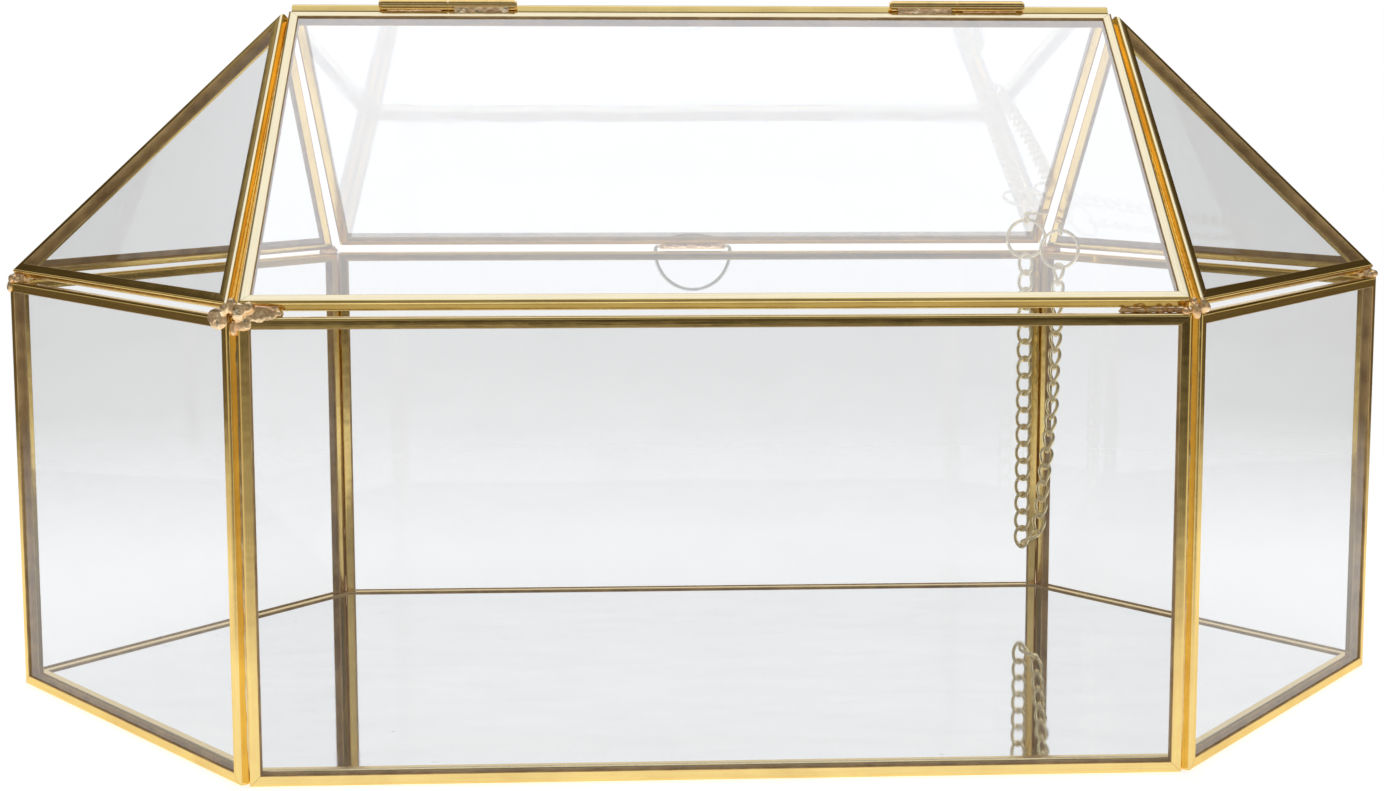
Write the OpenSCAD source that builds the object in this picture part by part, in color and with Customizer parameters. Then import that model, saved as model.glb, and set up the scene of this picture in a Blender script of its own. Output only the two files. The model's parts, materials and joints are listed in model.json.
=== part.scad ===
// Card box: a long hexagonal glass case with a hipped roof, in brass channel.
// X runs from tip to tip, Y runs front to back, Z is up, the origin is under the middle.

/* [Case] */
// Length of the front and back walls
front_w = 226; // [180:1:300]
// Length from tip to tip, between the inner faces
tip_l = 376; // [320:1:460]
// Depth between the inner faces of front and back
depth = 205; // [160:1:260]
// Height of the walls
wall_h = 113; // [80:1:160]
// Rise of the roof from the eaves to the ridge
roof_rise = 70; // [45:1:100]

/* [Gaps] */
// See-through slit between the walls and the fixed roof
eave_gap = 0.9; // [0.4:0.1:2]
// Slit under the lid's lower rail
lid_gap = 2.0; // [1.6:0.1:3]
// How far the lid's top edge stands above the front roof panel's
lid_step = 2.0; // [1.6:0.1:3]
// Gap between each side of the lid and the roof triangle beside it
lid_side_gap = 0.5; // [0.3:0.1:1]

/* [Channel and glass] */
// Thickness of a framed panel, across the channel
came_t = 3.2; // [2.8:0.1:4]
// Width of the channel's legs on the glass
came_leg = 2.8; // [2:0.1:5]
// Brass sheet thickness
sheet = 0.4; // [0.3:0.1:0.6]
// Glass thickness
glass_t = 2.2; // [1.8:0.1:2.4]
// Depth of the solder in the corner seams
seam_d = 1.0; // [0.5:0.1:1.8]
// How far each roof triangle stops short of the long walls' corners, along the eave
gable_cut = 2.0; // [0.5:0.1:4]

/* [Hinges] */
// Distance of each hinge's middle from the middle of the ridge
hinge_x = 70; // [40:1:90]
// Length of one knuckle
knuckle_l = 18; // [10:1:25]
// Knuckle radius
knuckle_r = 1.4; // [1.3:0.1:1.5]
// Hinge pin radius
pin_r = 0.7; // [0.5:0.1:0.8]

/* [Pull] */
// Width of the D ring between its wire's centres
pull_w = 24; // [18:1:30]
// Straight side of the D ring below its corners
pull_leg = 0.9; // [0.4:0.1:6]
// Radius of the wire of the D ring
pull_wire = 0.6; // [0.5:0.05:0.65]
// Outer radius of the pull's tube
tube_r = 1.0; // [0.9:0.05:1.1]

/* [Chain] */
// Radius of the chain's wire
chain_wire = 0.55; // [0.4:0.05:0.6]
// Outer width of a link
link_w = 5.2; // [4.8:0.1:6]
// Link pitch in the strand from the lid
link_pitch = 5.5; // [5:0.1:6]
// Links in the strand from the lid
lid_links = 17; // [12:1:17]
// Links in each half of the strand from the roof
roof_links = 8; // [6:1:8]
// How far the strand from the roof bows out at its middle
strand_bow = 1.5; // [0.5:0.1:2.5]
// Mean radius of the large rings at the chain's ends
ring_r = 5.95; // [5:0.05:7]
// Distance of the lid's chain eyelet from its lower edge, along Y
lid_eye_in = 16.5; // [10:0.5:30]
// Distance of the roof's chain eyelet from the back corner, along Y
roof_eye_in = 15.5; // [10:0.5:30]

/* [View] */
// Which node to draw

/* [Hidden] */
$fn = 96;
eps = 0.5;
brass = [0.85, 0.68, 0.36];
dark_brass = [0.62, 0.46, 0.22];
solder = [0.72, 0.50, 0.30];
pane = [0.90, 0.93, 0.94, 0.30];
mirror_grey = [0.80, 0.81, 0.82];

up = [0, 0, 1];
eave_z = wall_h + eave_gap;
ridge_z = eave_z + roof_rise;
lid_low_z = wall_h + lid_gap;
lid_top_z = ridge_z + lid_step;
lid_half = front_w / 2 - lid_side_gap;
front_slope = atan2(roof_rise, depth / 2);
lid_slope = atan2(lid_top_z - lid_low_z, depth / 2);

// The plan's corners, counter-clockwise from the front left.
plan = [
    [-front_w / 2, -depth / 2],
    [front_w / 2, -depth / 2],
    [tip_l / 2, 0],
    [front_w / 2, depth / 2],
    [-front_w / 2, depth / 2],
    [-tip_l / 2, 0]
];
ridge = [[-front_w / 2, 0, ridge_z], [front_w / 2, 0, ridge_z]];

function at(i, z) = [plan[i % 6][0], plan[i % 6][1], z];
function unit(v) = v / norm(v);
function wall(i) = [at(i, 0), at(i + 1, 0), at(i + 1, wall_h), at(i, wall_h)];
function gable(i, end) =
    let (a = at(i, eave_z), b = at(i + 1, eave_z), cut = gable_cut * unit(b - a))
    i == 1 || i == 4 ? [a + cut, b, ridge[end]] : [a, b - cut, ridge[end]];
roof_front_pts = [at(0, eave_z), at(1, eave_z), ridge[1], ridge[0]];
lid_pts = [
    [lid_half, depth / 2, lid_low_z],
    [-lid_half, depth / 2, lid_low_z],
    [-lid_half, 0, lid_top_z],
    [lid_half, 0, lid_top_z]
];

// Flat panels from points in space: the first edge is the local X axis, Z points out of the case.
function axis_x(pts) = unit(pts[1] - pts[0]);
function axis_n(pts) = unit(cross(pts[1] - pts[0], pts[2] - pts[1]));
function axis_y(pts) = cross(axis_n(pts), axis_x(pts));
function flat(pts) = [for (p = pts) [(p - pts[0]) * axis_x(pts), (p - pts[0]) * axis_y(pts)]];
function edge_in(pts, i) =
    let (n = len(pts), e = unit(pts[(i + 1) % n] - pts[i % n])) [-e[1], e[0]];
function inset(pts, d) =
    let (n = len(pts))
    [for (i = [0 : n - 1])
        let (a = edge_in(pts, i + n - 1), b = edge_in(pts, i))
        pts[i] + d * (a + b) / (1 + a * b)];

// Puts local X, Y and Z on three unit vectors at a point.
module place(o, x, y, z) {
    multmatrix([
        [x[0], y[0], z[0], o[0]],
        [x[1], y[1], z[1], o[1]],
        [x[2], y[2], z[2], o[2]],
        [0, 0, 0, 1]
    ])
        children();
}

module on_panel(pts) {
    place(pts[0], axis_x(pts), axis_y(pts), axis_n(pts))
        children();
}

module slab(shape, z0, z1) {
    translate([0, 0, z0])
        linear_extrude(z1 - z0)
            polygon(shape);
}

// U-channel all round a panel, mitred at its corners.
module came(pts) {
    shape = flat(pts);
    on_panel(pts)
        difference() {
            slab(shape, 0, came_t);
            slab(inset(shape, came_leg), -eps, came_t + eps);
            slab(inset(shape, sheet), sheet, came_t - sheet);
        }
}

module glazing(pts) {
    play = 0.1;
    on_panel(pts)
        slab(inset(flat(pts), sheet + play), (came_t - glass_t) / 2, (came_t + glass_t) / 2);
}

// ---- Walls and floor ----

module frame_front() {
    color(brass) came(wall(0));
}

module frame_front_right() {
    color(brass) came(wall(1));
}

module frame_back_right() {
    color(brass) came(wall(2));
}

module frame_back() {
    color(brass) came(wall(3));
}

module frame_back_left() {
    color(brass) came(wall(4));
}

module frame_front_left() {
    color(brass) came(wall(5));
}

module glass_front() {
    color(pane) glazing(wall(0));
}

module glass_front_right() {
    color(pane) glazing(wall(1));
}

module glass_back_right() {
    color(pane) glazing(wall(2));
}

module glass_back() {
    color(pane) glazing(wall(3));
}

module glass_back_left() {
    color(pane) glazing(wall(4));
}

module glass_front_left() {
    color(pane) glazing(wall(5));
}

floor_play = 0.1;
floor_pts = [for (p = inset(plan, floor_play)) [p[0], p[1], 0]];

module frame_floor() {
    color(brass) came(floor_pts);
}

module mirror_floor() {
    color(mirror_grey) glazing(floor_pts);
}

// ---- Roof ----

module roof_frame_front() {
    color(brass) came(roof_front_pts);
}

module roof_frame_front_right() {
    color(brass) came(gable(1, 1));
}

module roof_frame_back_right() {
    color(brass) came(gable(2, 1));
}

module roof_frame_back_left() {
    color(brass) came(gable(4, 0));
}

module roof_frame_front_left() {
    color(brass) came(gable(5, 0));
}

module roof_glass_front() {
    color(pane) glazing(roof_front_pts);
}

module roof_glass_front_right() {
    color(pane) glazing(gable(1, 1));
}

module roof_glass_back_right() {
    color(pane) glazing(gable(2, 1));
}

module roof_glass_back_left() {
    color(pane) glazing(gable(4, 0));
}

module roof_glass_front_left() {
    color(pane) glazing(gable(5, 0));
}

module lid_frame() {
    color(brass) came(lid_pts);
}

module lid_glass() {
    color(pane) glazing(lid_pts);
}

// ---- Solder ----

// Fills the bottom of the V between two panels that share the edge p0 to p1.
module seam(p0, p1, n1, n2, inner) {
    e = unit(p1 - p0);
    side = cross(e, n1);
    turn = [n1 * n2, side * n2];
    place(p0 + inner * e, n1, side, e)
        linear_extrude(norm(p1 - p0) - 2 * inner)
            polygon([[0, 0], seam_d * [1, 0], seam_d * turn]);
}

module solder_posts() {
    color(solder)
        for (i = [0 : 5])
            seam(at(i, 0), at(i, wall_h), axis_n(wall(i + 5)), axis_n(wall(i)), 0.2);
}

// Solder strip between the front roof panel's corner and the roof triangle beside it.
module hip_strip(corner, foot, top) {
    thick = 0.8;
    on_panel([corner, foot, top])
        slab(flat([corner, foot, top]), 0, thick);
}

module solder_hips() {
    tight = 2.0;
    color(solder) {
        hip_strip(at(1, eave_z), gable(1, 1)[0], ridge[1]);
        seam(at(2, eave_z), ridge[1], axis_n(gable(1, 1)), axis_n(gable(2, 1)), tight);
        seam(at(5, eave_z), ridge[0], axis_n(gable(4, 0)), axis_n(gable(5, 0)), tight);
        hip_strip(gable(5, 0)[1], at(0, eave_z), ridge[0]);
    }
}

// Solder lump in the slit over wall i, from s0 to s1 along it, under a roof panel with normal n.
module eave_lump(i, s0, s1, n, reach = 2.2) {
    e = unit(at(i + 1, 0) - at(i, 0));
    out = cross(e, up);
    rise = [n * out, n * up];
    place(at(i, wall_h) + s1 * e, out, up, -e)
        linear_extrude(s1 - s0)
            polygon([[0, 0], [reach, 0], [0, eave_gap] + reach * rise, [0, eave_gap]]);
}

lump = 6;
left_lump = 9.5;
right_lump = 17;
thin_seam = 0.6;
side_l = norm(plan[2] - plan[1]);

module solder_eaves() {
    color(solder) {
        eave_lump(0, 0.3, left_lump, axis_n(roof_front_pts));
        eave_lump(0, front_w - right_lump, front_w - 0.3, axis_n(roof_front_pts), thin_seam);
        eave_lump(1, 0.3, lump, axis_n(gable(1, 1)));
        eave_lump(1, side_l - lump, side_l - 0.3, axis_n(gable(1, 1)));
        eave_lump(2, 0.3, lump, axis_n(gable(2, 1)));
        eave_lump(2, side_l - lump, side_l - 0.3, axis_n(gable(2, 1)));
        eave_lump(4, 0.3, lump, axis_n(gable(4, 0)));
        eave_lump(4, side_l - lump, side_l - 0.3, axis_n(gable(4, 0)));
        eave_lump(5, 0.3, lump, axis_n(gable(5, 0)));
        eave_lump(5, side_l - lump, side_l - 0.3, axis_n(gable(5, 0)));
    }
}

// ---- Hinges ----

// The pin's axis: its Y, and its height above the front roof panel's inner top edge.
axis_back = -0.45;
axis_up = 4.35;
hinge_axis = [0, axis_back, ridge_z + axis_up];
bore_play = 0.05;
knuckle_gap = 0.3;

module along_x(x0, x1, r, y, z) {
    translate([x0, y, z])
        rotate([0, 90, 0])
            cylinder(h = x1 - x0, r = r);
}

module knuckle(x0, x1) {
    difference() {
        along_x(x0, x1, knuckle_r, hinge_axis[1], hinge_axis[2]);
        along_x(x0 - eps, x1 + eps, pin_r + bore_play, hinge_axis[1], hinge_axis[2]);
    }
}

// Solder along a knuckle: a profile in Y and Z, less the knuckle itself.
module knuckle_solder(x0, x1, profile) {
    inner = 1.5;
    difference() {
        translate([x0 + inner, 0, 0])
            rotate([90, 0, 90])
                linear_extrude(x1 - x0 - 2 * inner)
                    polygon(profile);
        along_x(x0, x1, knuckle_r, hinge_axis[1], hinge_axis[2]);
    }
}

near_x = hinge_x - knuckle_l - knuckle_gap / 2;
mid_near = hinge_x - knuckle_gap / 2;
mid_far = hinge_x + knuckle_gap / 2;
far_x = hinge_x + knuckle_l + knuckle_gap / 2;

module hinge_left_fixed() {
    color(brass) knuckle(-mid_near, -near_x);
}

module hinge_right_fixed() {
    color(brass) knuckle(near_x, mid_near);
}

module hinge_left_moving() {
    color(dark_brass) knuckle(-far_x, -mid_far);
}

module hinge_right_moving() {
    color(dark_brass) knuckle(mid_far, far_x);
}

// Wire pin with a peened head at each end.
module pin(x0, x1) {
    head = 0.5;
    play = 0.1;
    along_x(x0 - play, x1 + play, pin_r, hinge_axis[1], hinge_axis[2]);
    along_x(x0 - play - head, x0 - play, pin_r + 0.35, hinge_axis[1], hinge_axis[2]);
    along_x(x1 + play, x1 + play + head, pin_r + 0.35, hinge_axis[1], hinge_axis[2]);
}

module hinge_left_pin() {
    color(dark_brass) pin(-far_x, -near_x);
}

module hinge_right_pin() {
    color(dark_brass) pin(near_x, far_x);
}

front_web = [-sin(front_slope), cos(front_slope)];
front_down = [-cos(front_slope), -sin(front_slope)];
lid_web = [sin(lid_slope), cos(lid_slope)];
fixed_base = [0, ridge_z];
lid_base = [0, lid_top_z];
axis_yz = [hinge_axis[1], hinge_axis[2]];

fixed_profile = [
    fixed_base + 1.8 * front_web,
    fixed_base + came_t * front_web,
    fixed_base + came_t * front_web + 1.2 * front_down,
    axis_yz + [-1.3, -0.45],
    axis_yz,
    axis_yz + [0.1, -1.45]
];
lid_profile = [
    lid_base + 0.6 * lid_web,
    axis_yz + [0.2, -1.45],
    axis_yz,
    axis_yz + [1.2, 0.9],
    lid_base + came_t * lid_web
];

module solder_hinge_fixed() {
    color(solder) {
        knuckle_solder(-mid_near, -near_x, fixed_profile);
        knuckle_solder(near_x, mid_near, fixed_profile);
    }
}

module solder_hinge_lid() {
    color(solder) {
        knuckle_solder(-far_x, -mid_far, lid_profile);
        knuckle_solder(mid_far, far_x, lid_profile);
    }
}

// ---- Pull ----

pull_clear = 0.35;
pull_y = depth / 2 + came_t + pull_wire + pull_clear;
pull_z = wall_h + 1.4;
bend_r = 1.2;
tube_half = pull_w / 2 - bend_r - 0.4;

module pull_tube() {
    color(brass)
        difference() {
            along_x(-tube_half, tube_half, tube_r, pull_y, pull_z);
            along_x(-tube_half - eps, tube_half + eps, pull_wire + bore_play, pull_y, pull_z);
        }
}

module pull_solder() {
    inner = 1.0;
    base = [depth / 2, lid_low_z];
    color(solder)
        difference() {
            translate([inner - tube_half, 0, 0])
                rotate([90, 0, 90])
                    linear_extrude(2 * (tube_half - inner))
                        polygon([
                            base + 0.6 * lid_web,
                            [pull_y - tube_r, pull_z - 0.65],
                            [pull_y, pull_z],
                            [pull_y, pull_z + tube_r],
                            base + 3.0 * lid_web
                        ]);
            along_x(-tube_half, tube_half, tube_r, pull_y, pull_z);
        }
}

// Part of a ring of wire in the local XY plane.
module wire_arc(r, wire, from, sweep) {
    rotate([0, 0, from])
        rotate_extrude(angle = sweep)
            translate([r, 0])
                circle(wire);
}

module pull_ring() {
    half = pull_w / 2;
    color(brass)
        translate([0, pull_y, pull_z])
            rotate([90, 0, 0]) {
                translate([-half + bend_r, 0, 0])
                    rotate([0, 90, 0])
                        cylinder(h = pull_w - 2 * bend_r, r = pull_wire);
                for (s = [-1, 1])
                    translate([s * half, -bend_r - pull_leg, 0])
                        rotate([-90, 0, 0])
                            cylinder(h = pull_leg, r = pull_wire);
                translate([half - bend_r, -bend_r, 0])
                    wire_arc(bend_r, pull_wire, 0, 90);
                translate([bend_r - half, -bend_r, 0])
                    wire_arc(bend_r, pull_wire, 90, 90);
                translate([0, -bend_r - pull_leg, 0])
                    wire_arc(half, pull_wire, 180, 180);
            }
}

// ---- Chain ----

eye_r = 1.6;
eye_wire = 0.5;
stem_start = 0.6;
stem_sink = 0.55;
roof_sink = 0.85;
wire_gap = 0.05;
link_play = 2 * chain_wire + wire_gap;
eye_drop = eye_r - eye_wire - chain_wire - wire_gap;

// Foot of each eyelet's stem on the panel's edge, and how far the stem goes inward.
lid_n = axis_n(lid_pts);
lid_foot = [lid_half, depth / 2 - lid_eye_in, lid_low_z + lid_eye_in * tan(lid_slope)];
lid_in = [-1, 0, 0];
lid_stem = 7.4;
roof_n = axis_n(gable(2, 1));
hip = unit(ridge[1] - gable(2, 1)[1]);
roof_foot = gable(2, 1)[1] + roof_eye_in / cos(front_slope) * hip;
roof_in = cross(roof_n, hip);
roof_stem = 2.8;

function stem_end(foot, inward, n, reach, sink) = foot + reach * inward - sink * n;
lid_eye = stem_end(lid_foot, lid_in, lid_n, lid_stem, stem_sink) - eye_r * up;
roof_eye = stem_end(roof_foot, roof_in, roof_n, roof_stem, roof_sink) - eye_r * up;

// Wire stem under a panel's edge, bent down from the leg by its end, with a round eye below.
module eyelet(foot, inward, n, reach, sink) {
    end = stem_end(foot, inward, n, reach, sink);
    flat_in = unit([inward[0], inward[1], 0]);
    side = cross(up, flat_in);
    place(end - eye_r * up, side, up, flat_in)
        wire_arc(eye_r, eye_wire, 0, 360);
    start = stem_end(foot, inward, n, stem_start, stem_sink);
    along = unit(end - start);
    across = unit(cross(along, n));
    place(start, across, cross(along, across), along)
        cylinder(h = norm(end - start), r = eye_wire - 0.05);
}

module chain_eyelet_lid() {
    color(dark_brass) eyelet(lid_foot, lid_in, lid_n, lid_stem, stem_sink);
}

module chain_eyelet_roof() {
    color(dark_brass) eyelet(roof_foot, roof_in, roof_n, roof_stem, roof_sink);
}

// Points where the chain's parts bear on each other, from the lid down and up again to the roof.
lid_pivot = lid_eye - (eye_drop + link_play / 2) * up;
roof_pivot = roof_eye - (eye_drop + link_play / 2) * up;
ring_span = 2 * ring_r - link_play - wire_gap;
turn_tilt = 37;
turn_start = lid_pivot - (ring_span + lid_links * link_pitch) * up;
turn_dir = [cos(turn_tilt), 0, sin(turn_tilt)];
turn_pin = turn_start + link_play / 2 * up;
turn_end = turn_start + (link_pitch + link_play) * turn_dir;
knee_share = 0.553;
bow_dir = unit(cross([0, 1, 0], turn_end - roof_pivot));
knee = roof_pivot + knee_share * (turn_end - roof_pivot) - strand_bow * bow_dir;
upper_dir = unit(knee - roof_pivot);
lower_dir = unit(turn_end - knee);
upper_pitch = (norm(knee - roof_pivot) - ring_span) / roof_links;
lower_pitch = norm(turn_end - knee) / roof_links;

// Local Z along d, turned by roll about it.
module aim(p, d, roll) {
    x = unit(cross([0, 1, 0], d));
    place(p, x, cross(d, x), d)
        rotate([0, 0, roll])
            children();
}

// One oval link centred on the origin, its length along Z, in the XZ plane.
module link(pitch) {
    bend = link_w / 2 - chain_wire;
    half = round(50 * (pitch + link_play - 2 * bend)) / 100;
    rotate([90, 0, 0]) {
        for (s = [-1, 1])
            translate([s * bend, -half, 0])
                rotate([-90, 0, 0])
                    cylinder(h = 2 * half, r = chain_wire);
        translate([0, half, 0])
            wire_arc(bend, chain_wire, 0, 180);
        translate([0, -half, 0])
            wire_arc(bend, chain_wire, 180, 180);
    }
}

// A run of links from p along d. Every other link is a quarter turn on, and the last three
// turn by a further twist each.
module strand(p, d, pitch, count, twist) {
    for (i = [0 : count - 1])
        aim(p + (i + 0.5) * pitch * d, d, (i % 2 == 0 ? 45 : -45) + twist * max(0, i + 4 - count))
            link(pitch);
}

module big_ring(p, d) {
    aim(p + ring_span / 2 * d, d, 0)
        rotate([90, 0, 0])
            wire_arc(ring_r, chain_wire, 0, 360);
}

down = [0, 0, -1];

module chain_ring_lid() {
    color(brass) big_ring(lid_pivot, down);
}

module chain_strand_lid() {
    color(brass) strand(lid_pivot + ring_span * down, down, link_pitch, lid_links, -15);
}

module chain_turn_link() {
    color(brass)
        aim(turn_pin + (link_pitch + link_play) / 2 * turn_dir, turn_dir, 90)
            link(link_pitch);
}

module chain_ring_roof() {
    color(brass) big_ring(roof_pivot, upper_dir);
}

module chain_strand_upper() {
    color(brass)
        strand(roof_pivot + ring_span * upper_dir, upper_dir, upper_pitch, roof_links, 0);
}

module chain_strand_lower() {
    color(brass) strand(knee, lower_dir, lower_pitch, roof_links, 15);
}

frame_front();
frame_front_right();
frame_back_right();
frame_back();
frame_back_left();
frame_front_left();
glass_front();
glass_front_right();
glass_back_right();
glass_back();
glass_back_left();
glass_front_left();
frame_floor();
mirror_floor();
roof_frame_front();
roof_frame_front_right();
roof_frame_back_right();
roof_frame_back_left();
roof_frame_front_left();
roof_glass_front();
roof_glass_front_right();
roof_glass_back_right();
roof_glass_back_left();
roof_glass_front_left();
lid_frame();
lid_glass();
solder_posts();
solder_hips();
solder_eaves();
hinge_left_fixed();
hinge_right_fixed();
hinge_left_moving();
hinge_right_moving();
hinge_left_pin();
hinge_right_pin();
solder_hinge_fixed();
solder_hinge_lid();
pull_tube();
pull_solder();
pull_ring();
chain_eyelet_lid();
chain_eyelet_roof();
chain_ring_lid();
chain_strand_lid();
chain_turn_link();
chain_ring_roof();
chain_strand_upper();
chain_strand_lower();
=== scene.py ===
"""Looks of a hexagonal glass card box in brass channel: rails, solder, chain, glass, light and camera."""

import json
import math
import random

import bmesh
import bpy
from mathutils import Matrix, Vector, noise


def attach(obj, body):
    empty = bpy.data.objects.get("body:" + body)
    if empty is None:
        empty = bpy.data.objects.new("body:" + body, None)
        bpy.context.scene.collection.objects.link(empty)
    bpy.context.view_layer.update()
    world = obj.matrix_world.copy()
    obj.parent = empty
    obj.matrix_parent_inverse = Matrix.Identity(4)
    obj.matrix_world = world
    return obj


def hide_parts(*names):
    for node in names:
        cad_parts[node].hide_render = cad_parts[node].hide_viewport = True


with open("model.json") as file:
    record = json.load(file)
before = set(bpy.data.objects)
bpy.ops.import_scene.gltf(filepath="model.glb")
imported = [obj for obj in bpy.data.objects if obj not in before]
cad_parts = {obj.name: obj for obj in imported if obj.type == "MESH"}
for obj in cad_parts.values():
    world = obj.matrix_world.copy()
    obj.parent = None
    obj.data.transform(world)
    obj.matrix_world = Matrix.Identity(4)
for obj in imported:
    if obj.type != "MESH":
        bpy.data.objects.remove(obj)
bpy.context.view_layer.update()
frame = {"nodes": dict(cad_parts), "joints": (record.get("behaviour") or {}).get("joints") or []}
nodes = frame["nodes"]
pivots = {j["name"]: Vector(j["pos_m"]) for j in frame["joints"]}

# The case's driving sizes, in metres, as the CAD has them.
MM = 0.001
FRONT_W = 0.226
TIP_L = 0.376
DEPTH = 0.205
WALL_H = 0.113
ROOF_RISE = 0.070
EAVE_GAP = 0.0009
LID_GAP = 0.002
LID_STEP = 0.002
LID_SIDE_GAP = 0.0005
GABLE_CUT = 0.002
FLOOR_PLAY = 0.0001
CAME_T = 0.0032
CAME_LEG = 0.0028
SHEET = 0.0004
CHAIN_WIRE = 0.00055
LINK_W = 0.0052
LINK_PITCH = 0.0055
LINK_PLAY = 0.00115
RING_R = 0.00595
LID_LINKS = 17
ROOF_LINKS = 8
TURN_TILT = math.radians(37)
RING_SLACK = 0.00005

# How finely the rails are cut along their length, and how far their edges and faces waver.
RAIL_STEP = 0.009
EDGE_WAVER = 0.02 * MM
FACE_WAVER = 0.008 * MM

# The white paper under the box: its radius, and the distances between which it fades out.
PAPER_R = 0.71
PAPER_FADE = (0.22, 0.50)
PAPER_DROP = 0.0002

EAVE_Z = WALL_H + EAVE_GAP
RIDGE_Z = EAVE_Z + ROOF_RISE
UP = Vector((0, 0, 1))
rng = random.Random(7)


# ---- Geometry of the case ----

plan = [
    Vector((-FRONT_W / 2, -DEPTH / 2, 0)),
    Vector((FRONT_W / 2, -DEPTH / 2, 0)),
    Vector((TIP_L / 2, 0, 0)),
    Vector((FRONT_W / 2, DEPTH / 2, 0)),
    Vector((-FRONT_W / 2, DEPTH / 2, 0)),
    Vector((-TIP_L / 2, 0, 0)),
]
ridge = [Vector((-FRONT_W / 2, 0, RIDGE_Z)), Vector((FRONT_W / 2, 0, RIDGE_Z))]


def at(i, z):
    return plan[i % 6] + UP * z


def wall(i):
    return [at(i, 0), at(i + 1, 0), at(i + 1, WALL_H), at(i, WALL_H)]


def gable(i, end):
    a, b = at(i, EAVE_Z), at(i + 1, EAVE_Z)
    cut = (b - a).normalized() * GABLE_CUT
    return [a + cut, b, ridge[end]] if i in (1, 4) else [a, b - cut, ridge[end]]


def panel_normal(corners):
    return (corners[1] - corners[0]).cross(corners[2] - corners[1]).normalized()


def mitres(corners):
    """For each corner, the step in the panel's plane that moves 1 away from both of its edges."""
    n = panel_normal(corners)
    count = len(corners)
    steps = []
    for i in range(count):
        before = n.cross((corners[i] - corners[i - 1]).normalized())
        after = n.cross((corners[(i + 1) % count] - corners[i]).normalized())
        steps.append((before + after) / (1 + before.dot(after)))
    return steps


def inset(corners, distance):
    return [c + m * distance for c, m in zip(corners, mitres(corners))]


lid_half = FRONT_W / 2 - LID_SIDE_GAP
roof_front = [at(0, EAVE_Z), at(1, EAVE_Z), ridge[1], ridge[0]]
lid_panel = [
    Vector((lid_half, DEPTH / 2, WALL_H + LID_GAP)),
    Vector((-lid_half, DEPTH / 2, WALL_H + LID_GAP)),
    Vector((-lid_half, 0, RIDGE_Z + LID_STEP)),
    Vector((lid_half, 0, RIDGE_Z + LID_STEP)),
]
PANELS = {
    "frame_front": wall(0),
    "frame_front_right": wall(1),
    "frame_back_right": wall(2),
    "frame_back": wall(3),
    "frame_back_left": wall(4),
    "frame_front_left": wall(5),
    "frame_floor": inset(plan, FLOOR_PLAY),
    "roof_frame_front": roof_front,
    "roof_frame_front_right": gable(1, 1),
    "roof_frame_back_right": gable(2, 1),
    "roof_frame_back_left": gable(4, 0),
    "roof_frame_front_left": gable(5, 0),
    "lid_frame": lid_panel,
}


# ---- Materials ----

class Shader:
    """Short calls for building one material's node tree."""

    def __init__(self, name):
        self.material = bpy.data.materials.new(name)
        self.material.use_nodes = True
        self.tree = self.material.node_tree
        self.tree.nodes.clear()
        self.output = self.tree.nodes.new("ShaderNodeOutputMaterial")

    def node(self, kind, settings=None, **inputs):
        made = self.tree.nodes.new(kind)
        for key, value in (settings or {}).items():
            setattr(made, key, value)
        for key, value in inputs.items():
            self.feed(made.inputs[key.replace("_", " ")], value)
        return made

    def feed(self, socket, value):
        if isinstance(value, bpy.types.NodeSocket):
            self.tree.links.new(value, socket)
        else:
            socket.default_value = value

    def position(self, scale=(1, 1, 1), source="Object"):
        coordinates = self.node("ShaderNodeTexCoord")
        mapping = self.node("ShaderNodeMapping", Scale=scale)
        self.tree.links.new(coordinates.outputs[source], mapping.inputs["Vector"])
        return mapping.outputs["Vector"]

    def noise(self, vector, scale, detail=3.0, roughness=0.55, distortion=0.0):
        made = self.node("ShaderNodeTexNoise", Vector=vector, Scale=scale, Detail=detail,
                         Roughness=roughness, Distortion=distortion)
        return made.outputs["Fac"]

    def ramp(self, factor, stops):
        made = self.node("ShaderNodeValToRGB", Fac=factor)
        elements = made.color_ramp.elements
        while len(elements) < len(stops):
            elements.new(0.5)
        for element, (place, colour) in zip(elements, stops):
            element.position = place
            element.color = (*colour, 1.0)
        return made.outputs["Color"]

    def mix(self, factor, a, b, blend="MIX"):
        made = self.node("ShaderNodeMix", {"data_type": "RGBA", "blend_type": blend})
        self.feed(made.inputs[0], factor)
        self.feed(made.inputs[6], a)
        self.feed(made.inputs[7], b)
        return made.outputs[2]

    def span(self, value, low, high, to_low, to_high):
        made = self.node("ShaderNodeMapRange", Value=value)
        made.inputs["From Min"].default_value = low
        made.inputs["From Max"].default_value = high
        made.inputs["To Min"].default_value = to_low
        made.inputs["To Max"].default_value = to_high
        return made.outputs["Result"]

    def bump(self, height, strength, distance, normal=None):
        made = self.node("ShaderNodeBump", Height=height, Strength=strength, Distance=distance)
        if normal is not None:
            self.tree.links.new(normal, made.inputs["Normal"])
        return made.outputs["Normal"]

    def finish(self, shader):
        self.tree.links.new(shader.outputs[0], self.output.inputs["Surface"])
        return self.material


# A painted highlight: the pale cream tone of the rails where they face up, standing in for light from above.
PAINTED_TOP_HIGHLIGHT = (0.70, 0.645, 0.49)


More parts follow.
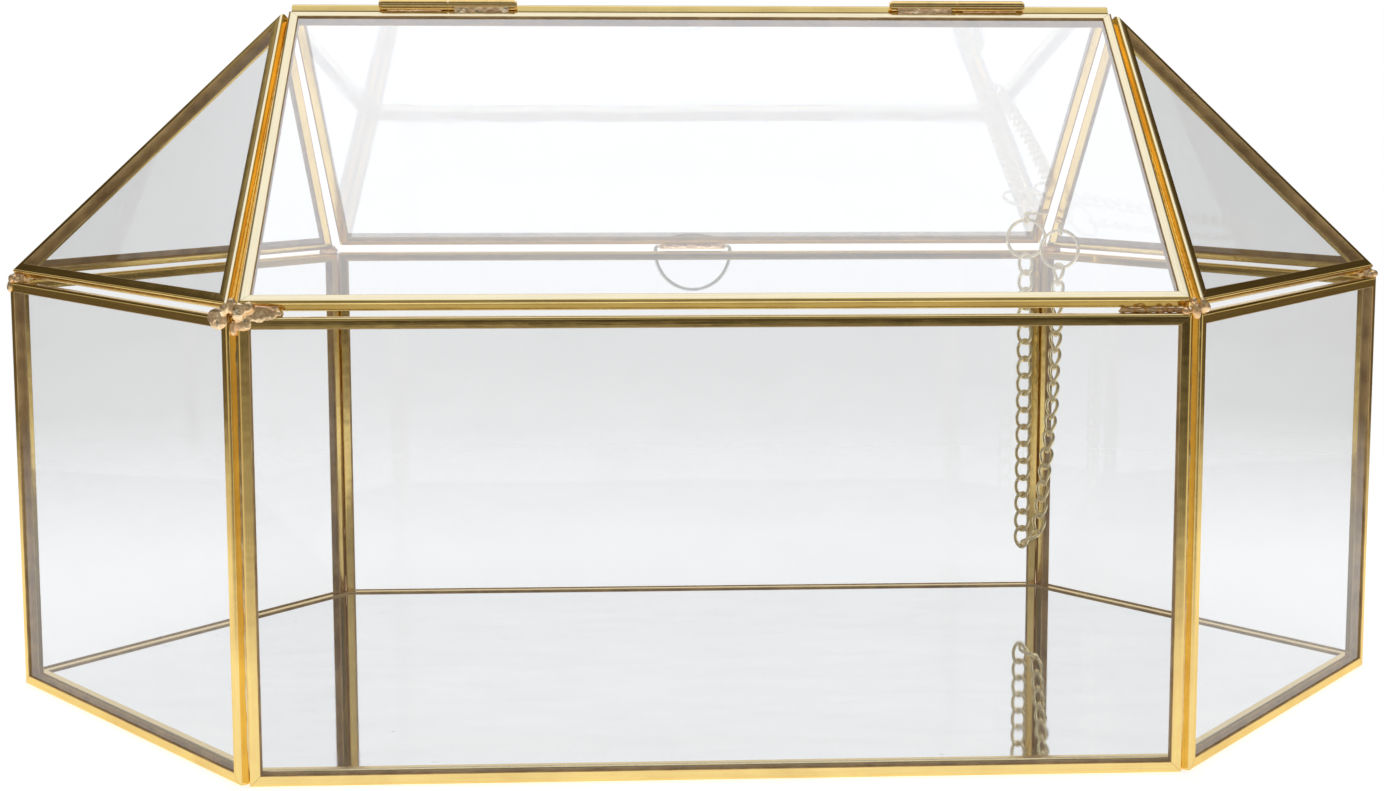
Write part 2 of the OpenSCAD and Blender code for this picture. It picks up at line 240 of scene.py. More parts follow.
def brass(name, bright, dull, rough, streaks_and_top_highlight, stain=0.35):
    """Polished brass with cloudy tarnish. Streaked brass is also drawn, with a painted highlight that makes
    it paler where it faces up.
    """
    s = Shader(name)
    cloud = s.noise(s.position(), 42.0, 4.0, 0.6, 0.4)
    speck = s.noise(s.position(), 900.0, 3.0, 0.6)
    if streaks_and_top_highlight:
        grain_at = s.position((35.0, 2600.0, 1.0), "UV")
    else:
        grain_at = s.position((500.0, 500.0, 500.0))
    grain = s.noise(grain_at, 1.0, 4.0, 0.65)
    tarnish = s.span(cloud, 0.42, 0.72, 0.0, stain)
    colour = s.mix(tarnish, (*bright, 1), (*dull, 1))
    colour = s.mix(s.span(speck, 0.62, 0.8, 0.0, 0.25), colour, (*dull, 1))
    if streaks_and_top_highlight:
        # Painted highlight: faces that point up are mixed towards a pale cream tone.
        facets = s.node("ShaderNodeTexCoord")
        split = s.node("ShaderNodeSeparateXYZ", Vector=facets.outputs["Normal"])
        top_highlight_mask = s.span(split.outputs["Z"], 0.70, 0.80, 0.0, 0.82)
        colour = s.mix(top_highlight_mask, colour, (*PAINTED_TOP_HIGHLIGHT, 1))
    shade = s.span(grain, 0.3, 0.7, 0.90, 1.06)
    tone = s.node("ShaderNodeCombineColor", Red=shade, Green=shade, Blue=shade)
    colour = s.mix(1.0, colour, tone.outputs["Color"], "MULTIPLY")
    roughness = s.node("ShaderNodeMath", {"operation": "ADD"})
    s.feed(roughness.inputs[0], s.span(cloud, 0.35, 0.75, rough, rough + 0.08))
    s.feed(roughness.inputs[1], s.span(grain, 0.3, 0.7, -0.03, 0.05))
    wave = s.noise(s.position(), 130.0, 2.0, 0.5)
    normal = s.bump(wave, 0.10, 0.0008)
    normal = s.bump(grain, 0.12, 0.0001, normal)
    metal = s.node("ShaderNodeBsdfPrincipled", Base_Color=colour, Metallic=1.0,
                   Roughness=roughness.outputs[0], Specular_Tint=(0.98, 0.84, 0.60, 1), Normal=normal)
    return s.finish(metal)


def solder_metal():
    """Coppery brazing: pitted, blotched from brown copper to pale brass."""
    s = Shader("solder_metal")
    blotch = s.noise(s.position(), 260.0, 4.0, 0.6, 0.6)
    pit = s.noise(s.position(), 1500.0, 3.0, 0.65)
    colour = s.ramp(blotch, [(0.32, (0.74, 0.45, 0.25)), (0.44, (0.88, 0.58, 0.31)),
                             (0.55, (0.95, 0.69, 0.39)), (0.68, (1.00, 0.85, 0.62))])
    roughness = s.span(blotch, 0.3, 0.7, 0.48, 0.17)
    normal = s.bump(blotch, 0.3, 0.0006)
    normal = s.bump(pit, 0.35, 0.00012, normal)
    metal = s.node("ShaderNodeBsdfPrincipled", Base_Color=colour, Metallic=1.0,
                   Roughness=roughness, Normal=normal)
    return s.finish(metal)


def channel_lining_glow():
    """The inside of the channel, a dull brown. A painted glow from its own emission keeps it brown where it
    would render dark, and it only shows past the glass's edge.
    """
    s = Shader("channel_lining_glow")
    cloud = s.noise(s.position(), 160.0, 3.0, 0.6)
    colour = s.ramp(cloud, [(0.35, (0.30, 0.19, 0.08)), (0.65, (0.48, 0.33, 0.15))])
    # Painted glow: the emission lights the lining in its own brown.
    metal = s.node("ShaderNodeBsdfPrincipled", Base_Color=colour, Metallic=0.4, Roughness=0.55,
                   Emission_Color=colour, Emission_Strength=0.25)
    return s.finish(metal)


def clear_glass(name, tint, veil, shine):
    """A thin clear pane: it lets light straight through, with a reflection that grows at low angles."""
    s = Shader(name)
    ripple = s.noise(s.position(), 14.0, 2.0, 0.5)
    smear = s.noise(s.position((1.0, 1.0, 2.2)), 38.0, 4.0, 0.62, 0.8)
    normal = s.bump(ripple, 0.12, 0.001)
    fresnel = s.node("ShaderNodeFresnel", IOR=1.5, Normal=normal)
    side = s.node("ShaderNodeNewGeometry")
    facing = s.node("ShaderNodeMath", {"operation": "MULTIPLY"})
    s.feed(facing.inputs[0], fresnel.outputs["Fac"])
    s.feed(facing.inputs[1], s.span(side.outputs["Backfacing"], 0.0, 1.0, shine, 0.0))
    through = s.node("ShaderNodeBsdfTransparent", Color=s.mix(
        s.span(smear, 0.45, 0.8, 0.0, 0.6), (*tint, 1), (*[t * veil for t in tint], 1)))
    sheen = s.node("ShaderNodeBsdfGlossy", Color=(1, 1, 1, 1), Normal=normal,
                   Roughness=s.span(smear, 0.4, 0.8, 0.015, 0.10))
    mixed = s.node("ShaderNodeMixShader", Fac=facing.outputs[0])
    s.tree.links.new(through.outputs[0], mixed.inputs[1])
    s.tree.links.new(sheen.outputs[0], mixed.inputs[2])
    return s.finish(mixed)


def mirror_glass():
    """Silvered floor glass: cool grey, with faint wipe marks and darker spots where the silver thins."""
    s = Shader("mirror_glass")
    wipe = s.noise(s.position((1.0, 3.0, 1.0)), 24.0, 4.0, 0.6, 0.5)
    spot = s.noise(s.position(), 320.0, 2.0, 0.5)
    colour = s.mix(s.span(wipe, 0.35, 0.75, 0.0, 1.0), (0.95, 0.955, 0.96, 1), (0.90, 0.91, 0.92, 1))
    colour = s.mix(s.span(spot, 0.72, 0.8, 0.0, 0.5), colour, (0.5, 0.5, 0.5, 1))
    metal = s.node("ShaderNodeBsdfPrincipled", Base_Color=colour, Metallic=1.0,
                   Roughness=s.span(wipe, 0.3, 0.8, 0.015, 0.07))
    return s.finish(metal)


rail_brass = brass("rail_brass", (0.92, 0.685, 0.26), (0.62, 0.38, 0.13), 0.10, True)
part_brass = brass("part_brass", (0.90, 0.65, 0.27), (0.56, 0.36, 0.13), 0.16, False)
chain_brass = brass("chain_brass", (1.0, 0.88, 0.57), (0.78, 0.56, 0.28), 0.20, False, 0.25)
lining_glow_mat = channel_lining_glow()
solder_mat = solder_metal()
seam_mat = brass("seam_brass", (0.80, 0.66, 0.36), (0.72, 0.47, 0.23), 0.18, False, 0.6)
pane_mat = clear_glass("pane_glass", (0.953, 0.956, 0.958), 0.985, 1.15)
roof_pane_mat = clear_glass("roof_pane_glass", (0.968, 0.969, 0.970), 0.99, 4.5)
mirror_mat = mirror_glass()
ring_mat = brass("pale_ring", (0.86, 0.84, 0.79), (0.62, 0.58, 0.50), 0.14, False, 0.25)


# ---- Mesh helpers ----

def new_object(name, bm, material, body, sharp=math.radians(38)):
    bmesh.ops.recalc_face_normals(bm, faces=bm.faces)
    mesh = bpy.data.meshes.new(name)
    bm.to_mesh(mesh)
    bm.free()
    for polygon in mesh.polygons:
        polygon.use_smooth = True
    mesh.set_sharp_from_angle(angle=sharp)
    mesh.materials.append(material)
    obj = bpy.data.objects.new(name, mesh)
    bpy.context.scene.collection.objects.link(obj)
    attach(obj, body)
    return obj


def dress(node, material):
    """Gives a carried-over CAD node its material."""
    mesh = nodes[node].data
    mesh.materials.clear()
    mesh.materials.append(material)


def arc(centre, radius, start, end, steps):
    angles = [math.radians(start + (end - start) * k / steps) for k in range(steps + 1)]
    return [(centre[0] + radius * math.cos(a), centre[1] + radius * math.sin(a)) for a in angles]


def sweep(bm, rings, closed_rings=False):
    """Skins a list of closed loops of points. The ends are capped unless the rings close on themselves."""
    made = [[bm.verts.new(p) for p in ring] for ring in rings]
    count = len(made[0])
    last = len(made) if closed_rings else len(made) - 1
    for k in range(last):
        a, b = made[k], made[(k + 1) % len(made)]
        for j in range(count):
            bm.faces.new((a[j], b[j], b[(j + 1) % count], a[(j + 1) % count]))
    if not closed_rings:
        bm.faces.new(made[0][::-1])
        bm.faces.new(made[-1])
    return made


def tube(bm, path, radius, sides=10, closed=False):
    """A round wire along a list of points, with its frame carried along so that it doesn't twist."""
    count = len(path)
    rings = []
    side = None
    for k, point in enumerate(path):
        ahead = path[(k + 1) % count] if closed or k < count - 1 else point
        behind = path[k - 1] if closed or k > 0 else point
        along = (ahead - behind).normalized()
        if side is None:
            side = along.orthogonal().normalized()
        side = (side - along * side.dot(along)).normalized()
        other = along.cross(side)
        rings.append([point + (side * math.cos(a) + other * math.sin(a)) * radius
                      for a in (2 * math.pi * j / sides for j in range(sides))])
    if not closed:
        sweep(bm, rings)
        return
    made = [[bm.verts.new(p) for p in ring] for ring in rings]
    first, end = made[0], made[-1]
    shift = min(range(sides), key=lambda s: (first[s].co - end[0].co).length)
    for k in range(count - 1):
        for j in range(sides):
            bm.faces.new((made[k][j], made[k + 1][j], made[k + 1][(j + 1) % sides], made[k][(j + 1) % sides]))
    for j in range(sides):
        joined = (j + shift) % sides
        bm.faces.new((end[j], first[joined], first[(joined + 1) % sides], end[(j + 1) % sides]))


# ---- Brass channel ----

# The profile runs round one lip, the outside of the web, the other lip, then two points inside.
LIP_STEPS = 4


def channel_profile():
    """The channel's section: how far in from the panel's edge, and how far out from its inner face."""
    fold = 0.8 * MM
    lip = SHEET / 2
    top = CAME_T
    points = arc((CAME_LEG - lip, lip), lip, 90, -90, LIP_STEPS)
    points += arc((fold, fold), fold, 270, 180, 4)
    points += arc((fold, top - fold), fold, 180, 90, 4)
    points += arc((CAME_LEG - lip, top - lip), lip, 90, -90, LIP_STEPS)
    points += [(SHEET, top - SHEET), (SHEET, SHEET)]
    return points


PROFILE = channel_profile()
INSIDE = len(PROFILE) - 2
MITRE_GAP = 0.04 * MM


def rail(bm, uv, start, end, step_start, step_end, normal, seed):
    """One length of channel between two mitres. It wavers a little, as channel that was bent by hand does."""
    along = (end - start).normalized()
    pieces = max(4, int((end - start).length / RAIL_STEP))
    rings = []
    for k in range(pieces + 1):
        t = k / pieces
        ring = []
        for into, out in PROFILE:
            a = start + step_start * into + along * MITRE_GAP
            b = end + step_end * into - along * MITRE_GAP
            point = a.lerp(b, t)
            sway = noise.noise(Vector((t * pieces * 0.33, seed, out * 300)))
            lean = noise.noise(Vector((t * pieces * 0.25, seed + 9.0, 0)))
            edge = EDGE_WAVER * sway * (into / CAME_LEG)
            ring.append(point + normal * (out + edge + FACE_WAVER * lean))
        rings.append(ring)
    made = sweep(bm, rings)
    around = [0.0]
    for j in range(1, len(PROFILE) + 1):
        p, q = PROFILE[j - 1], PROFILE[j % len(PROFILE)]
        around.append(around[-1] + math.hypot(q[0] - p[0], q[1] - p[1]))
    order = {vert: j for ring in made for j, vert in enumerate(ring)}
    for vert in order:
        for face in vert.link_faces:
            spots = [order[v] for v in face.verts]
            lower_lip = max(spots) <= LIP_STEPS
            upper_lip = min(spots) >= INSIDE - LIP_STEPS - 1
            if len(spots) == 4 and (max(spots) >= INSIDE or lower_lip or upper_lip):
                face.material_index = 1
    place = {}
    for k, ring in enumerate(made):
        for j, vert in enumerate(ring):
            place[vert] = ((start.lerp(end, k / pieces) - start).length + seed, around[j] + seed)
    for vert in place:
        for loop in vert.link_loops:
            loop[uv].uv = place[vert]


def channel_frame(node, corners, body):
    """One panel's frame: a rail along each edge, mitred at the corners."""
    bm = bmesh.new()
    uv = bm.loops.layers.uv.new("rail")
    steps = mitres(corners)
    normal = panel_normal(corners)
    for i in range(len(corners)):
        after = (i + 1) % len(corners)
        rail(bm, uv, corners[i], corners[after], steps[i], steps[after], normal, rng.uniform(0, 40))
    obj = new_object(node + "_rails", bm, rail_brass, body)
    # The second material, on the inside faces and the lips: the channel lining with its painted glow.
    obj.data.materials.append(lining_glow_mat)
    flat = obj.modifiers.new("flat_faces", "WEIGHTED_NORMAL")
    flat.keep_sharp = True
    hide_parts(node)


for node, corners in PANELS.items():
    channel_frame(node, corners, "lid" if node == "lid_frame" else "case")


# ---- Solder ----

def blob(bm, centre, radii, turn=0.0):
    matrix = Matrix.Translation(centre) @ Matrix.Rotation(turn, 4, "Z") @ Matrix.Diagonal((*radii, 1))
    bmesh.ops.create_icosphere(bm, subdivisions=3, radius=1.0, matrix=matrix)


def melt(name, bm, voxel, rough, body, material):
    """Fuses overlapping lumps into one skin and ripples it, so that it reads as solder that has flowed."""
    mesh = bpy.data.meshes.new(name + "_raw")
    bm.to_mesh(mesh)
    bm.free()
    raw = bpy.data.objects.new(name + "_raw", mesh)
    bpy.context.scene.collection.objects.link(raw)
    remesh = raw.modifiers.new("fuse", "REMESH")
    remesh.mode = "VOXEL"
    remesh.voxel_size = voxel
    smooth = raw.modifiers.new("flow", "SMOOTH")
    smooth.factor = 0.5
    smooth.iterations = 4
    fused = bmesh.new()
    fused.from_object(raw, bpy.context.evaluated_depsgraph_get())
    bpy.data.objects.remove(raw)
    fused.normal_update()
    for vert in fused.verts:
        coarse = noise.noise(vert.co * 620)
        fine = noise.noise(vert.co * 1500)
        vert.co += vert.normal * rough * (coarse + 0.4 * fine + 0.25)
    return new_object(name, fused, material, body, math.radians(80))


def melted(node, body, blobs=(), voxel=0.22 * MM, rough=0.16 * MM, material=solder_mat):
    """The CAD's clean solder with listed blobs added, all melted together."""
    bm = bmesh.new()
    bm.from_mesh(nodes[node].data)
    for centre, radii, turn in blobs:
        blob(bm, centre, radii, turn)
    obj = melt(node + "_melted", bm, voxel, rough, body, material)
    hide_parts(node)


def groove(bm, p0, p1, n1, n2, width, seed, step=0.0012):
    """Solder lying in the bottom of the groove between two channel webs, with a hollow face."""
    length = (p1 - p0).length
    along = (p1 - p0).normalized()
    pieces = max(4, int(length / step))
    angle = n1.angle(n2)
    rings = []
    for k in range(pieces + 1):
        t = k / pieces
        swell = noise.noise(Vector((t * length * 160, seed, 0)))
        swell += 0.5 * noise.noise(Vector((t * length * 520, seed, 3)))
        reach = width * (1 + 0.35 * swell)
        fade = min(1.0, 8 * t + 0.35, 8 * (1 - t) + 0.35)
        reach = max(0.25 * MM, reach * fade)
        ring = [p0 + along * length * t]
        for j in range(5):
            share = j / 4
            direction = n1.slerp(n2, share) if angle > 0.01 else n1
            hollow = 1 - 0.42 * math.sin(math.pi * share)
            ring.append(ring[0] + direction * reach * hollow)
        rings.append(ring)
    sweep(bm, rings)


def corner_posts():
    """The seams that join the walls, one in each corner."""
    bm = bmesh.new()
    for i in range(6):
        groove(bm, at(i, 0.0003), at(i, WALL_H - 0.0003), panel_normal(wall((i + 5) % 6)),
               panel_normal(wall(i)), 0.85 * MM, 11.0 + i)
    obj = new_object("solder_post_beads", bm, seam_mat, "case", math.radians(60))
    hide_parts("solder_posts")


def on_eave(i, along, out, rise):
    """A point by wall i's top edge: along it from its first corner, out from the case, and up. In mm."""
    edge = (at(i + 1, 0) - at(i, 0)).normalized()
    return at(i, WALL_H) + (edge * along + edge.cross(UP) * out + UP * rise) * MM


def corner_blobs():
    """Where the maker let the solder build up: wall, along, out, up, then the three radii, in mm."""
    side = (plan[2] - plan[1]).length / MM
    front = FRONT_W / MM
    spots = [
        # The left front corner: a dull patch on the side rail, bright lumps, then a long smooth skin.
        (5, side - 4.6, 3.0, -0.8, 4.8, 0.9, 2.6), (5, side - 1.0, 2.8, 1.7, 1.6, 1.4, 1.5),
        (0, 0.5, 3.0, 1.3, 1.5, 1.5, 2.3), (0, 2.7, 3.1, 2.3, 1.4, 1.2, 1.5),
        (0, 5.0, 2.4, 0.5, 4.6, 1.0, 2.3), (0, 1.4, 3.0, -1.7, 2.2, 0.7, 1.5),
        (0, 9.3, 1.4, 0.8, 1.3, 1.1, 1.0),
        (5, side + 1.0, 1.5, -2.6, 1.2, 1.3, 1.9), (5, side + 0.8, 2.2, 2.6, 1.1, 1.3, 2.0),
        # The right front corner: beads along the slit, then a heap on the corner.
        (0, front - 16.7, 0.5, 0.45, 0.9, 0.5, 0.5), (0, front - 12.2, 0.9, 0.55, 1.5, 0.7, 0.6),
        (0, front - 7.4, 0.8, 0.4, 0.7, 0.6, 0.5), (0, front - 5.0, 0.9, 0.5, 0.8, 0.6, 0.6),
        (0, front - 1.5, 1.9, 0.4, 1.1, 1.5, 1.1),
        (0, front + 0.9, 2.8, 0.6, 1.2, 1.2, 1.9), (1, 0.9, 2.9, 1.7, 1.4, 1.2, 1.9),
        (1, 3.0, 2.7, 1.2, 1.6, 1.1, 1.4), (0, front + 0.2, 2.6, 3.0, 0.9, 0.9, 0.9),
        # The tips and the back corners.
        (1, side - 0.6, 2.0, 0.7, 1.7, 1.5, 1.3), (1, side - 3.0, 1.9, 0.5, 1.4, 1.1, 1.0),
        (2, 0.6, 2.0, 0.7, 1.7, 1.5, 1.3), (2, 3.0, 1.9, 0.5, 1.4, 1.1, 1.0),
        (2, side - 3.2, 2.0, 0.4, 1.6, 1.4, 1.2), (2, side - 5.0, 1.8, 0.4, 1.3, 1.1, 0.9),
        (4, 3.2, 2.0, 0.4, 1.6, 1.4, 1.2), (4, 5.0, 1.8, 0.4, 1.3, 1.1, 0.9),
        (4, side - 0.6, 2.0, 0.7, 1.7, 1.5, 1.3), (4, side - 3.0, 1.9, 0.5, 1.4, 1.1, 1.0),
        (5, 0.6, 2.0, 0.7, 1.7, 1.5, 1.3), (5, 3.0, 1.9, 0.5, 1.4, 1.1, 1.0),
        (5, 0.3, 3.0, -1.4, 1.2, 1.0, 1.5),
    ]
    blobs = []
    for i, along, out, rise, *radii in spots:
        edge = at(i + 1, 0) - at(i, 0)
        blobs.append((on_eave(i, along, out, rise), [r * MM for r in radii], math.atan2(edge.y, edge.x)))
    return blobs


corner_posts()
melted("solder_eaves", "case", corner_blobs(), rough=0.20 * MM)
melted("solder_hips", "case", voxel=0.2 * MM, rough=0.07 * MM, material=seam_mat)
melted("solder_hinge_fixed", "case", voxel=0.18 * MM, rough=0.12 * MM)
melted("solder_hinge_lid", "lid", voxel=0.18 * MM, rough=0.12 * MM)
melted("pull_solder", "lid", voxel=0.18 * MM, rough=0.12 * MM)


# ---- Chain ----

def aim(origin, along, roll):
    """Local Z on the chain's direction, turned by roll about it."""
    x = Vector((0, 1, 0)).cross(along).normalized()
    y = along.cross(x)
    turn = Matrix((x, y, along)).transposed().to_4x4()
    return Matrix.Translation(origin) @ turn @ Matrix.Rotation(math.radians(roll), 4, "Z")


def curb_link(bm, origin, along, roll, pitch, twist=38.0):
    """An oval link of round wire, twisted about its length so that it lies flat in the chain."""
    wide = LINK_W / 2 - CHAIN_WIRE
    reach = (pitch + LINK_PLAY) / 2
    steps = 28
    squareness = 0.88
    path = []
    for k in range(steps):
        c, d = math.cos(2 * math.pi * k / steps), math.sin(2 * math.pi * k / steps)
        path.append(Vector((wide * math.copysign(abs(c) ** squareness, c), 0,
                            reach * math.copysign(abs(d) ** squareness, d))))
    place = aim(origin, along, roll)
    points = [place @ Matrix.Rotation(math.radians(twist * p.z / reach), 4, "Z") @ p for p in path]
    tube(bm, points, CHAIN_WIRE, 10, True)


def chain_run(name, start, along, pitch, count, roll, wander, body):
    """A straight length of curb chain. Each link is rolled a little off the one before."""
    bm = bmesh.new()
    for i in range(count):
        turn = roll + rng.uniform(-wander, wander)
        curb_link(bm, start + along * pitch * (i + 0.5), along, turn, pitch)
    obj = new_object(name + "_links", bm, chain_brass, body, math.radians(70))
    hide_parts(name)


def split_ring(name, pivot, along, body, cut):
    """A large jump ring of thin wire, with the cut where it was closed."""
    span = 2 * RING_R - LINK_PLAY - RING_SLACK
    place = aim(pivot + along * span / 2, along, 0)
    gap = 2.5
    path = [place @ Vector((x, 0, z)) for x, z in arc((0, 0), RING_R, cut + gap, cut + 360 - gap, 72)]
    bm = bmesh.new()
    tube(bm, path, CHAIN_WIRE, 10)
    obj = new_object(name + "_wire", bm, chain_brass, body, math.radians(50))
    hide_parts(name)
    return span


def stay_chain():
    """The chain hangs from the lid in a U and climbs to the roof, in the lengths that its joints move."""
    lid_top = pivots["chain_lid_swing"]
    roof_top = pivots["chain_upper_swing"]
    knee = pivots["chain_lower_swing"]
    turn_pin = pivots["chain_turn_swing"]
    down = -UP
    span = split_ring("chain_ring_lid", lid_top, down, "chain_lid", 150)
    chain_run("chain_strand_lid", lid_top + down * span, down, LINK_PITCH, LID_LINKS, 8, 10, "chain_lid")
    turn_dir = Vector((math.cos(TURN_TILT), 0, math.sin(TURN_TILT)))
    bm = bmesh.new()
    curb_link(bm, turn_pin + turn_dir * (LINK_PITCH + LINK_PLAY) / 2, turn_dir, 90, LINK_PITCH)
    turn_link = new_object("chain_turn_link_wire", bm, chain_brass, "chain_turn",
                           math.radians(70))
    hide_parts("chain_turn_link")
    turn_end = turn_pin - UP * LINK_PLAY / 2 + turn_dir * (LINK_PITCH + LINK_PLAY)
    upper_dir = (knee - roof_top).normalized()
    lower_dir = (turn_end - knee).normalized()
    split_ring("chain_ring_roof", roof_top, upper_dir, "chain_upper", 30)
    upper_pitch = ((knee - roof_top).length - span) / ROOF_LINKS
    lower_pitch = (turn_end - knee).length / ROOF_LINKS
    chain_run("chain_strand_upper", roof_top + upper_dir * span, upper_dir, upper_pitch, ROOF_LINKS, 55, 14,
              "chain_upper")
    chain_run("chain_strand_lower", knee, lower_dir, lower_pitch, ROOF_LINKS, 60, 10, "chain_lower")


stay_chain()


# ---- Carried-over nodes ----

for node in nodes:
    if node in ("roof_glass_front", "lid_glass"):
        dress(node, roof_pane_mat)
    elif "glass" in node:
        dress(node, pane_mat)
    elif "solder" in node:
        dress(node, solder_mat)
    elif node == "pull_ring":
        dress(node, ring_mat)
    elif node == "mirror_floor":
        dress(node, mirror_mat)
    elif node.startswith("chain"):
        dress(node, chain_brass)
    else:
        dress(node, part_brass)


# ---- Floor, light and camera ----

def studio_floor():
    """A round sheet of white paper under the box."""
    bm = bmesh.new()
    bmesh.ops.create_circle(bm, cap_ends=True, segments=128, radius=PAPER_R)
    mesh = bpy.data.meshes.new("studio_floor")
    bm.to_mesh(mesh)
    bm.free()
    s = Shader("studio_paper")
    grain = s.noise(s.position(), 60.0, 3.0, 0.5)
    paper = s.node("ShaderNodeBsdfDiffuse", Color=s.mix(grain, (0.90, 0.90, 0.90, 1), (0.92, 0.92, 0.92, 1)))
    glow = s.node("ShaderNodeEmission", Color=(1, 1, 1, 1), Strength=0.66)
    both = s.node("ShaderNodeAddShader")
    s.tree.links.new(paper.outputs[0], both.inputs[0])
    s.tree.links.new(glow.outputs[0], both.inputs[1])
    spread = s.node("ShaderNodeVectorMath", {"operation": "LENGTH"})
    s.tree.links.new(s.position((0.62, 1.0, 1.0)), spread.inputs[0])
    gone = s.node("ShaderNodeBsdfTransparent", Color=(1, 1, 1, 1))
    faded = s.node("ShaderNodeMixShader", Fac=s.span(spread.outputs["Value"], *PAPER_FADE, 0.0, 1.0))
    s.tree.links.new(both.outputs[0], faded.inputs[1])
    s.tree.links.new(gone.outputs[0], faded.inputs[2])
    mesh.materials.append(s.finish(faded))
    floor = bpy.data.objects.new("studio_floor", mesh)
    floor.location.z = -PAPER_DROP
    bpy.context.scene.collection.objects.link(floor)


def softbox(name, place, target, width, height, watts, colour):
    data = bpy.data.lights.new(name, "AREA")
    data.shape = "RECTANGLE"
    data.size = width
    data.size_y = height
    data.energy = watts
    data.color = colour
    lamp = bpy.data.objects.new(name, data)
    lamp.location = place
    lamp.rotation_euler = (Vector(target) - Vector(place)).to_track_quat("-Z", "Y").to_euler()
    lamp.visible_camera = False
    bpy.context.scene.collection.objects.link(lamp)


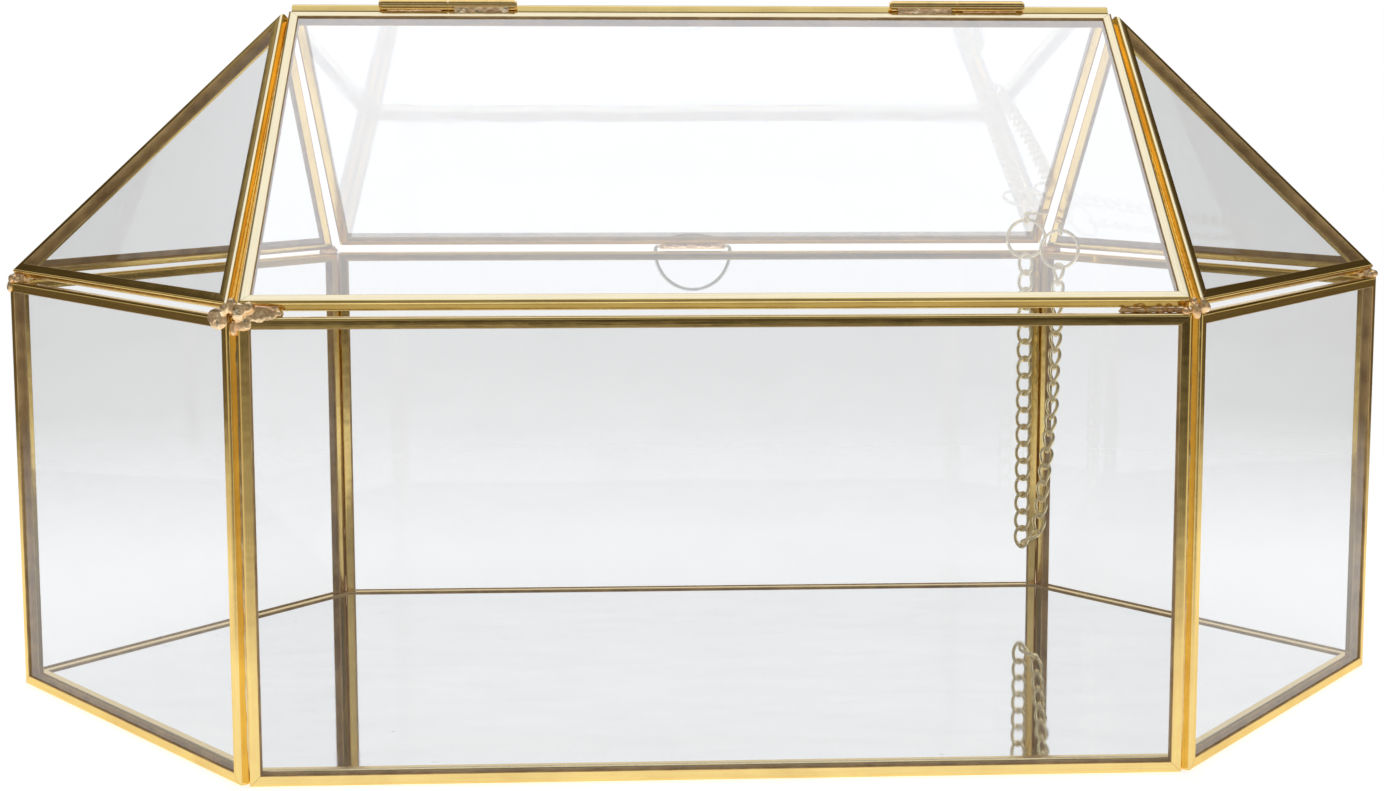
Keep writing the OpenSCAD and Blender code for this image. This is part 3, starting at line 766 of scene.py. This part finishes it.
def studio_world():
    """White behind the box, and for the reflections a room that is light at the walls and dim above them."""
    world = bpy.data.worlds.new("studio")
    bpy.context.scene.world = world
    world.use_nodes = True
    tree = world.node_tree
    tree.nodes.clear()
    new = tree.nodes.new
    link = tree.links.new
    place = new("ShaderNodeTexCoord")
    split = new("ShaderNodeSeparateXYZ")
    link(place.outputs["Generated"], split.inputs[0])
    height = new("ShaderNodeMapRange")
    link(split.outputs["Z"], height.inputs["Value"])
    height.inputs["From Min"].default_value = -1.0

    def ramp_over(source, stops):
        ramp = new("ShaderNodeValToRGB")
        link(source.outputs["Result"], ramp.inputs["Fac"])
        elements = ramp.color_ramp.elements
        while len(elements) < len(stops):
            elements.new(0.5)
        for element, (where, level) in zip(elements, stops):
            element.position = where
            element.color = (*level, 1)
        return ramp.outputs["Color"]

    def over(axis, start, end, low, high):
        span = new("ShaderNodeMapRange")
        link(split.outputs[axis], span.inputs["Value"])
        for key, value in (("From Min", start), ("From Max", end), ("To Min", low), ("To Max", high)):
            span.inputs[key].default_value = value
        return span.outputs["Result"]

    def over_side(start, end):
        size = new("ShaderNodeMath")
        size.operation = "ABSOLUTE"
        link(split.outputs["X"], size.inputs[0])
        span = new("ShaderNodeMapRange")
        link(size.outputs[0], span.inputs["Value"])
        span.inputs["From Min"].default_value = start
        span.inputs["From Max"].default_value = end
        return span.outputs["Result"]

    def blend(kind, a, b):
        made = new("ShaderNodeMixRGB")
        made.blend_type = kind
        made.inputs["Fac"].default_value = 1.0
        link(a, made.inputs[1])
        link(b, made.inputs[2])
        return made.outputs["Color"]

    def product(a, b):
        return blend("MULTIPLY", a, b)

    # All round: a bright horizon, windows a third of the way up, and a bright ceiling.
    room = ramp_over(height, [
        (0.0, (0.12, 0.10, 0.075)), (0.49, (0.12, 0.10, 0.075)), (0.505, (0.62, 0.60, 0.57)),
        (0.55, (0.62, 0.60, 0.57)), (0.605, (0.06, 0.05, 0.035)), (0.67, (0.06, 0.05, 0.035)),
        (0.715, (0.06, 0.05, 0.035)), (0.745, (0.40, 0.40, 0.40)), (0.785, (0.40, 0.40, 0.40)),
        (0.82, (0.12, 0.105, 0.08)), (0.86, (0.12, 0.105, 0.08)), (0.93, (0.80, 0.83, 0.88))])
    room = product(room, over("Y", -0.8, -0.3, 0.22, 1.0))
    # In front: a strip on the ground that is brighter to the left, and a lamp behind the camera.
    strip = ramp_over(height, [
        (0.0, (0.08, 0.07, 0.05)), (0.39, (0.16, 0.15, 0.13)), (0.413, (0.52, 0.50, 0.46)),
        (0.427, (0.52, 0.50, 0.46)), (0.443, (0.03, 0.02, 0.01)), (1.0, (0.0, 0.0, 0.0))])
    strip = product(strip, over("Y", -0.9, -0.6, 1.0, 0.0))
    strip = product(strip, over("X", -0.10, 0.22, 1.0, 0.35))
    lamp = ramp_over(height, [
        (0.575, (0, 0, 0)), (0.60, (0.5, 0.5, 0.48)), (0.70, (0.5, 0.5, 0.48)), (0.74, (0, 0, 0))])
    lamp = product(lamp, over("Y", -0.5, -0.25, 1.0, 0.0))
    # At each side: pale ground, which the webs in the front posts' grooves reflect.
    sides = ramp_over(height, [
        (0.38, (0, 0, 0)), (0.42, (0.6, 0.55, 0.45)), (0.49, (0.6, 0.55, 0.45)), (0.5, (0, 0, 0))])
    sides = product(sides, over("Y", -0.25, 0.0, 1.0, 0.0))
    sides = product(sides, over_side(0.45, 0.70))
    total = blend("ADD", blend("ADD", blend("ADD", room, strip), lamp), sides)
    # Behind the box: a white card, and for the camera nothing but white.
    behind = new("ShaderNodeMapRange")
    behind.interpolation_type = "SMOOTHSTEP"
    link(split.outputs["Y"], behind.inputs["Value"])
    for key, value in (("From Min", 0.80), ("From Max", 0.92)):
        behind.inputs[key].default_value = value
    above = new("ShaderNodeMapRange")
    link(split.outputs["Z"], above.inputs["Value"])
    for key, value in (("From Min", -0.02), ("From Max", 0.01)):
        above.inputs[key].default_value = value
    card = new("ShaderNodeMath")
    card.operation = "MULTIPLY"
    link(behind.outputs["Result"], card.inputs[0])
    link(above.outputs["Result"], card.inputs[1])
    backed = new("ShaderNodeMixRGB")
    link(card.outputs[0], backed.inputs["Fac"])
    link(total, backed.inputs[1])
    backed.inputs[2].default_value = (1.06, 1.06, 1.06, 1)
    seen = new("ShaderNodeLightPath")
    white = new("ShaderNodeMixRGB")
    link(seen.outputs["Is Camera Ray"], white.inputs["Fac"])
    link(backed.outputs["Color"], white.inputs[1])
    white.inputs[2].default_value = (1, 1, 1, 1)
    background = new("ShaderNodeBackground")
    link(white.outputs["Color"], background.inputs["Color"])
    output = new("ShaderNodeOutputWorld")
    link(background.outputs[0], output.inputs["Surface"])


def studio_camera():
    """Almost square to the front, a little above it, and near enough for the tips to draw in."""
    data = bpy.data.cameras.new("camera")
    data.sensor_width = 36.0
    data.lens = 62.69
    data.shift_x = -0.0527
    data.clip_start = 0.01
    data.clip_end = 20.0
    camera = bpy.data.objects.new("camera", data)
    yaw, pitch, roll = 0.061, 0.1329, -0.0015
    forward = Vector((math.sin(yaw) * math.cos(pitch), math.cos(yaw) * math.cos(pitch), -math.sin(pitch)))
    turn = forward.to_track_quat("-Z", "Y").to_matrix() @ Matrix.Rotation(-roll, 3, "Z")
    camera.rotation_euler = turn.to_euler()
    camera.location = (-0.02405, -0.67171, 0.16975)
    bpy.context.scene.collection.objects.link(camera)
    bpy.context.scene.camera = camera


studio_floor()
studio_world()
softbox("overhead_softbox", (0.0, 0.33, 1.30), (0, 0, 0.12), 0.95, 0.80, 1.2, (0.96, 0.98, 1.04))
studio_camera()
bpy.context.scene.view_settings.view_transform = "Standard"
